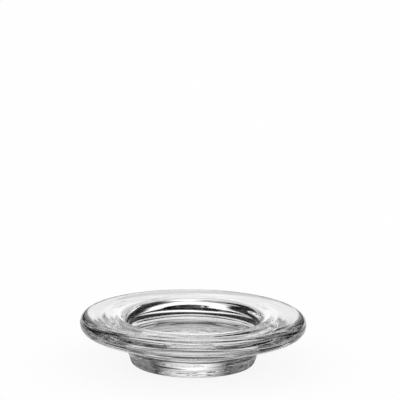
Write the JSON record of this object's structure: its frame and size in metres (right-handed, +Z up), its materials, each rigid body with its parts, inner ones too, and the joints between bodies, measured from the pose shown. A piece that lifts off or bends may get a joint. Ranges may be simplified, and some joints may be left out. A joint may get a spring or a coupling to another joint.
{
  "type": "wine bottle coaster",
  "caption": "Round coaster of solid clear glass with a wide rimmed flange, a shallow well that a wine bottle stands in, and a heavy flared foot.",
  "frame": {"origin": "middle of the foot's resting face, on the table", "axes": "+Z up the axis of revolution, out of the well; the form is the same all round, so +X and +Y are free"},
  "size_m": [0.152, 0.152, 0.0336],
  "materials": {
    "clear_glass": "clear, colourless, fire-polished gloss"
  },
  "bodies": {
    "root": {"glass_coaster": "clear_glass"}
  },
  "joints": []
}
